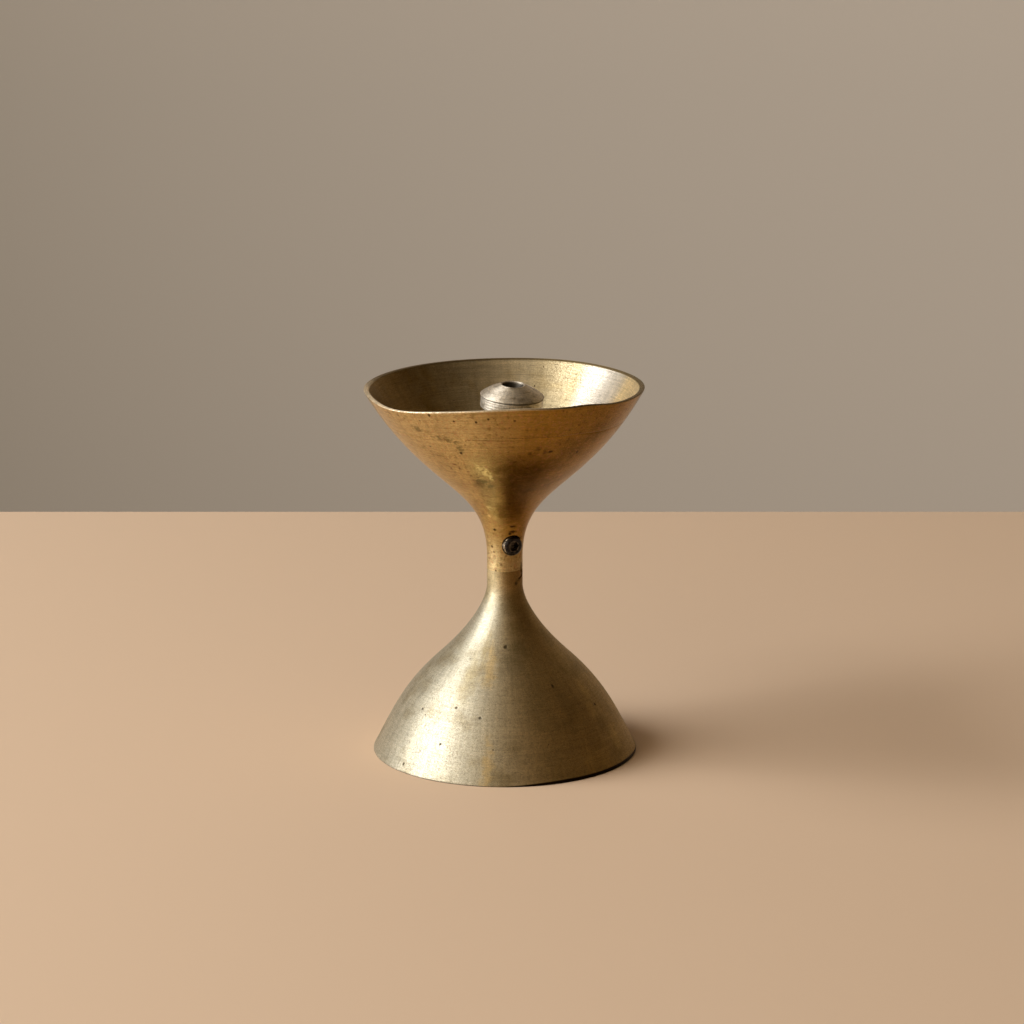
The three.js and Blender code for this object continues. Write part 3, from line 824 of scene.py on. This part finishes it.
def bowl_outside(tree, skin, neck):
    """Orange-brown, flecked and worn pale on the neck, with painted shade that browns the right and painted
    light that pales the upper left.
    """
    # Painted shade browns the right, away from the window, and painted light pales the upper left, towards it
    above_neck = add(tree, MATH, [neck, -0.4, 1.0], operation="MULTIPLY_ADD")
    brown = add(tree, MATH, [side(tree, skin, 322, 0.3, 0.85, 0.8), above_neck], operation="MULTIPLY")
    high = add(tree, MAP_RANGE, [skin.height, *BOWL_LIT_FADE, 0.3, 1.0])
    lit_upper_left = add(tree, MATH, [side(tree, skin, 215, 0.3, 0.8, 0.65), high], operation="MULTIPLY")
    flecks = add(tree, MATH, [patches(tree, skin, 0.8, 0.56, 0.7, 0.6, 2.0, 90),
                              patches(tree, skin, 9, 0.36, 0.56, aside=70)], operation="MULTIPLY")
    return tinted(tree, linear("#c8ab68"), (
        (patches(tree, skin, 7, 0.45, 0.72, 0.6, 4.0), "#8a6a2a"),
        (neck, "#e4d09a"),
        (lit_upper_left, "#d8c08c"),
        (brown, "#8e6414"),
        # Painted shade and painted dark reflections of the foot
        (marks(tree, skin, BOWL_PAINTED_SHADE, 0.7, 0.6, 2.0, 1.2), "#74560e"),
        (patches(tree, skin, 0.7, 0.5, 0.7, 0.5, 3.0, 40), "#b9825c"),
        (patches(tree, skin, 1.4, 0.5, 0.72, 0.4, 4.0, 60), "#8a7432"),
        (flecks, "#64400f"),
        (marks(tree, skin, BOWL_STAINS, 0.65, 1.0), "#625a30"),
        (marks(tree, skin, BOWL_SMEARS, 0.9, 0.25, soft=0.6), "#33200c"),
        (marks(tree, skin, BOWL_SPOTS, 0.55, 0.7), "#452a0e"),
        (marks(tree, skin, CRACK_STAINS, 0.7, 0.6), "#3c3114"),
        (marks(tree, skin, BOWL_SCRATCHES, 0.7, 0.5), "#5c3c14"),
        # Rubbed bright, and three of these marks are a painted reflection of the foot's highlight
        (marks(tree, skin, BOWL_RUBS_AND_REFLECTION, 0.8, 1.2), "#f4dc96"),
        (marks(tree, skin, BOWL_PITS, 0.9, 0.3, soft=0.6), "#3a250c"),
    ))


def bowl_inside(tree, skin):
    """Wiped pale, with painted shade at the left and at the back, a painted reflection at the far right and a
    painted highlight at the back right.
    """
    wiped = add(tree, MIX, [patches(tree, skin, 7, 0.45, 0.72, 0.6, 4.0, 110),
                            linear("#cab994"), linear("#a48a50")], data_type="RGBA")
    return tinted(tree, wiped, (
        # Painted shade at the left and back, a painted reflection at the far right, a painted highlight at
        # the back right
        (side(tree, skin, 185, 0.2, 0.95, 0.8), "#9a7826"),
        (side(tree, skin, 0, 0.78, 0.97, 0.8), "#f0d8a4"),
        (side(tree, skin, 62, 0.94, 0.99, 0.6), "#b8a478"),
        (side(tree, skin, 37, 0.95, 0.99, 0.6), "#d4ccbe"),
    ))


def bowl_brass():
    """Yellow turned brass gone orange-brown outside and kept paler inside, where it is wiped."""
    material, tree, shader = new_material("turned bowl brass")
    skin = skin_of(tree, 1)
    facing = add(tree, "ShaderNodeSeparateXYZ", [add(tree, "ShaderNodeTexCoord").node.outputs["Normal"]])
    inside = add(tree, MAP_RANGE, [facing.node.outputs["Z"], 0.0, 0.15], **SOFT_EDGE)
    neck = add(tree, MAP_RANGE, [skin.height, *BOWL_NECK_FADE], **SOFT_EDGE)
    # The inside's colour carries painted light and shade by side
    outside, wiped = bowl_outside(tree, skin, neck), bowl_inside(tree, skin)
    colour = add(tree, MIX, [inside, outside, wiped], data_type="RGBA")
    # The lip is dull, with a painted highlight at the front left, where it faces the window
    below = add(tree, "ShaderNodeAttribute", attribute_name=BELOW_RIM).node.outputs["Fac"]
    lip = add(tree, MAP_RANGE, [below, LIP_FADE[0] * MM, LIP_FADE[1] * MM])
    lip_with_highlight = add(tree, MIX, [side(tree, skin, 228, 0.3, 0.75), linear("#86724a"), linear("#ecdab6")],
                     data_type="RGBA")
    holes = pits(tree, skin, 2.2, 0.3, 0.3)
    colour = add(tree, MIX, [lip, colour, lip_with_highlight], data_type="RGBA")
    colour = tinted(tree, colour, [(holes, "#3a250c")])
    smoothest = add(tree, MAP_RANGE, [inside, 0.0, 1.0, 0.12, 0.34])
    roughest = add(tree, MAP_RANGE, [inside, 0.0, 1.0, 0.45, 0.9])
    roughest = add(tree, MATH, [neck, 0.35, roughest], operation="MULTIPLY_ADD")
    finished(shader, tree, skin, colour, smoothest, roughest, 0.5, 0.15, 0.15, holes)
    return material


def foot_brass():
    """Pale greenish brass, matt from casting and brushing, with painted shade on the side away from the
    window, painted glints and dark reflections, and a painted contact shadow along the ring.
    """
    material, tree, shader = new_material("turned foot brass")
    skin = skin_of(tree, -1)
    neck = add(tree, MAP_RANGE, [skin.height, *FOOT_NECK_FADE], **SOFT_EDGE)
    colour = add(tree, MIX, [neck, linear("#cac1a6"), linear("#f0deb0")], data_type="RGBA")
    # Painted shade on the neck's right, away from the window
    brown = add(tree, MATH, [side(tree, skin, 318, 0.0, 1.0, 0.8), neck], operation="MULTIPLY")
    # A painted contact shadow lies along the ring and climbs highest at the front right, away from the window
    climbs = add(tree, MATH, [side(tree, skin, 318, 0.6, 0.97, CONTACT_SHADOW_CLIMB), -1.0, skin.height],
                 operation="MULTIPLY_ADD")
    contact_shadow = add(tree, MAP_RANGE, [climbs, *CONTACT_SHADOW_FADE])
    colour = tinted(tree, colour, (
        # Painted shade: the side away from the window is warmer and darker, and the neck's right browner
        # still
        (side(tree, skin, 330, 0.2, 0.9, 0.85), "#bc9c58"),
        (brown, "#a07a44"),
        (marks(tree, skin, CRACK_STAINS, 0.7, 0.6), "#3c3114"),
        (patches(tree, skin, 8, 0.48, 0.72, 0.5, 4.0, 15), "#8f7b4a"),
        (patches(tree, skin, 0.45, 0.5, 0.68, 0.28, 2.0, 35), "#6f6540"),
        # Painted glints and reflections, painted shade at the highlight's edge, a painted dark reflection of
        # the bowl
        (marks(tree, skin, FOOT_PAINTED_GLINTS, 0.45, 0.7, 1.4, 1.2), "#dcbc74"),
        (marks(tree, skin, FOOT_PAINTED_SHADE, 0.5, 0.5, 2.0, 1.2), "#a8935c"),
        (marks(tree, skin, FOOT_PAINTED_DARK_REFLECTION, 0.32, 0.7, 1.4, 1.1), "#6c6440"),
        (contact_shadow, "#2a1c0c"),
    ))
    holes = add(tree, MATH, [marks(tree, skin, FOOT_PITS, 0.8, 0.3, soft=0.6),
                             pits(tree, skin, 2.4, 0.26, 0.3)], operation="MAXIMUM")
    colour = tinted(tree, colour, [(holes, "#3a2f1b")])
    finished(shader, tree, skin, colour, 0.4, 0.92, speckle=0.16, dents=holes)
    return material


def wick_brass():
    """Brass greyed by lamp oil and smoke, turned with a coarser tool than the bowl."""
    material, tree, shader = new_material("greyed wick brass")
    skin = skin_of(tree, -1, WICK_PLACE)
    sooty = add(tree, MAP_RANGE, [skin.radius, TUBE_BORE + SOOT_PAST_BORE, TUBE_BORE - SOOT_IN_BORE])
    bore = add(tree, MATH, [skin.height, SEAT_GAP + TUBE_BASE - NEAR_FACE], operation="GREATER_THAN")
    sooty = add(tree, MATH, [sooty, bore], operation="MULTIPLY")
    colour = tinted(tree, linear("#e6dac2"), (
        (patches(tree, skin, 1.6, 0.45, 0.7, 0.6, 4.0, 5), "#9a8768"),
        (sooty, "#2c2015"),
    ))
    dents = pits(tree, skin, 0.9, 0.16, 0.4)
    finished(shader, tree, skin, colour, 0.45, 0.95, stretch=0.65, streak=0.16, speckle=0.25, dents=dents)
    return material


def stud_brass():
    """Plain drawn brass rod, hardly seen and hardly aged."""
    material, tree, shader = new_material("drawn stud brass")
    skin = skin_of(tree, 0)
    worn = patches(tree, skin, 2, 0.4, 0.7, 0.5)
    colour = add(tree, MIX, [worn, linear("#c9a760"), linear("#a07f42")], data_type="RGBA")
    finished(shader, tree, skin, colour, 0.3, 0.4)
    return material


def screw_steel():
    """Steel blackened in hot oil. The thread has rubbed bright on its crests and on the flank that shows."""
    material, tree, shader = new_material("blackened screw steel")
    skin = skin_of(tree, 0, ALONG_SCREW)
    crest = add(tree, MAP_RANGE, [skin.radius, *(SCREW_RADIUS - below for below in CREST_FADE)])
    shown = add(tree, MAP_RANGE, [skin.height, *(NECK_RADIUS + above for above in FLANK_FADE)])
    crest = add(tree, MATH, [crest, shown], operation="MULTIPLY")
    key_worn = add(tree, MAP_RANGE,
                   [skin.radius, *(SCREW_KEY_ACROSS / 2 + past for past in KEY_FADE), 0.0, 0.25])
    rubbed = add(tree, MATH, [crest, key_worn], operation="MAXIMUM")
    worn = patches(tree, skin, 0.5, 0.3, 0.6)
    bare = add(tree, MATH, [rubbed, worn], operation="MULTIPLY")
    black = add(tree, MIX, [worn, linear("#1b1816"), linear("#3e3a38")], data_type="RGBA")
    colour = add(tree, MIX, [bare, black, linear("#d6c4a6")], data_type="RGBA")
    finished(shader, tree, skin, colour, 0.28, 0.42)
    return material


def stage_material(name, left, right=None):
    """One plain colour, or a slow change from left to right, as light falls off along a wall."""
    material, tree, shader = new_material(name)
    shader.inputs["Base Color"].default_value = linear(left)
    shader.inputs["Roughness"].default_value = STAGE_ROUGHNESS
    if right:
        place = add(tree, "ShaderNodeSeparateXYZ", [add(tree, "ShaderNodeTexCoord").node.outputs["Object"]])
        along = add(tree, MAP_RANGE, [place, -WALL_FADE * MM, WALL_FADE * MM])
        colour = add(tree, MIX, [along, linear(left), linear(right)], data_type="RGBA")
        tree.links.new(colour, shader.inputs["Base Color"])
    return material


# Stage, light and camera

def stage_sheet(name, corners, material):
    """One flat sheet of the stage."""
    mesh = bpy.data.meshes.new(name)
    mesh.from_pydata([metres(*corner) for corner in corners], [], [(0, 1, 2, 3)])
    mesh.materials.append(material)
    sheet = new_object(name, mesh)


def stage():
    """A pale table top that ends behind the lamp, and a plain wall further off."""
    half = STAGE_SIZE / 2
    stage_sheet("floor", [(-half, -half, 0), (half, -half, 0), (half, FLOOR_BACK, 0), (-half, FLOOR_BACK, 0)],
                stage_material("pale floor", "#debf9b"))
    stage_sheet("backdrop", [(-half, WALL_BACK, -half), (half, WALL_BACK, -half),
                             (half, WALL_BACK, half), (-half, WALL_BACK, half)],
                stage_material("pale wall", "#ae9f88", "#ffeed4"))


def panel_light(name, place, aim, width, height, power, colour):
    """A soft panel turned to what it aims at, with its power in watts."""
    lamp = bpy.data.lights.new(name, "AREA")
    lamp.shape = "RECTANGLE"
    lamp.size, lamp.size_y = width * MM, height * MM
    lamp.energy = power
    lamp.color = linear(colour)[:3]
    holder = new_object(name, lamp)
    holder.location = metres(*place)
    holder.rotation_euler = (metres(*aim) - metres(*place)).to_track_quat("-Z", "Y").to_euler()


def light_up():
    """A window at the left, a pale wall behind the camera and a pale ceiling, in a dim room."""
    panel_light("window panel", (-1260, -190, 740), (0, 0, 60), 1200, 1100, 34.5, "#f2f5ff")
    panel_light("front panel", (-850, -1000, 700), (0, 0, 60), 1200, 1000, 3.2, "#fff0d8")
    panel_light("high panel", (-350, -900, 1300), (0, 0, 40), 1600, 1600, 2.5, "#ffe4c0")
    world = bpy.data.worlds.new("room")
    bpy.context.scene.world = world
    world.use_nodes = True
    room = world.node_tree.nodes["Background"].inputs
    room["Color"].default_value, room["Strength"].default_value = linear("#362608"), 1.0


def camera():
    """The camera of the photo, in front of the lamp and a little above it."""
    lens = bpy.data.cameras.new("camera")
    lens.lens, lens.sensor_width = CAMERA_LENS, CAMERA_SENSOR
    lens.clip_start, lens.clip_end = CAMERA_NEAR, CAMERA_FAR
    holder = new_object("camera", lens)
    holder.location = metres(*CAMERA_PLACE)
    holder.rotation_euler = (math.radians(90 - CAMERA_DOWN), 0, 0)
    bpy.context.scene.camera = holder


camera()
stage()
light_up()
bpy.context.scene.view_settings.view_transform = "Standard"

BOWL_BRASS = bowl_brass()
FOOT_BRASS = foot_brass()
STUD_BRASS = stud_brass()
WICK_BRASS = wick_brass()
SCREW_STEEL = screw_steel()

PIECES = [
    (foot_bell, FOOT_BRASS, "foot_bell", "foot", "foot_brass"),
    (neck_stud, STUD_BRASS, "neck_stud", "foot", "stud_brass"),
    (oil_bowl, BOWL_BRASS, "oil_bowl", "bowl", "bowl_brass"),
    (grub_screw, SCREW_STEEL, "grub_screw", "screw", "screw_steel"),
    (wick_tube, WICK_BRASS, "wick_tube", "wick_holder", "wick_brass"),
    (wick_collar, WICK_BRASS, "wick_collar", "wick_holder", "wick_brass"),
    (wick_cap, WICK_BRASS, "wick_cap", "cap", "wick_brass"),
]
for make, material, node, body, slot in PIECES:
    piece = smooth(outward(make(material)))
    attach(piece, body)
    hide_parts(node)
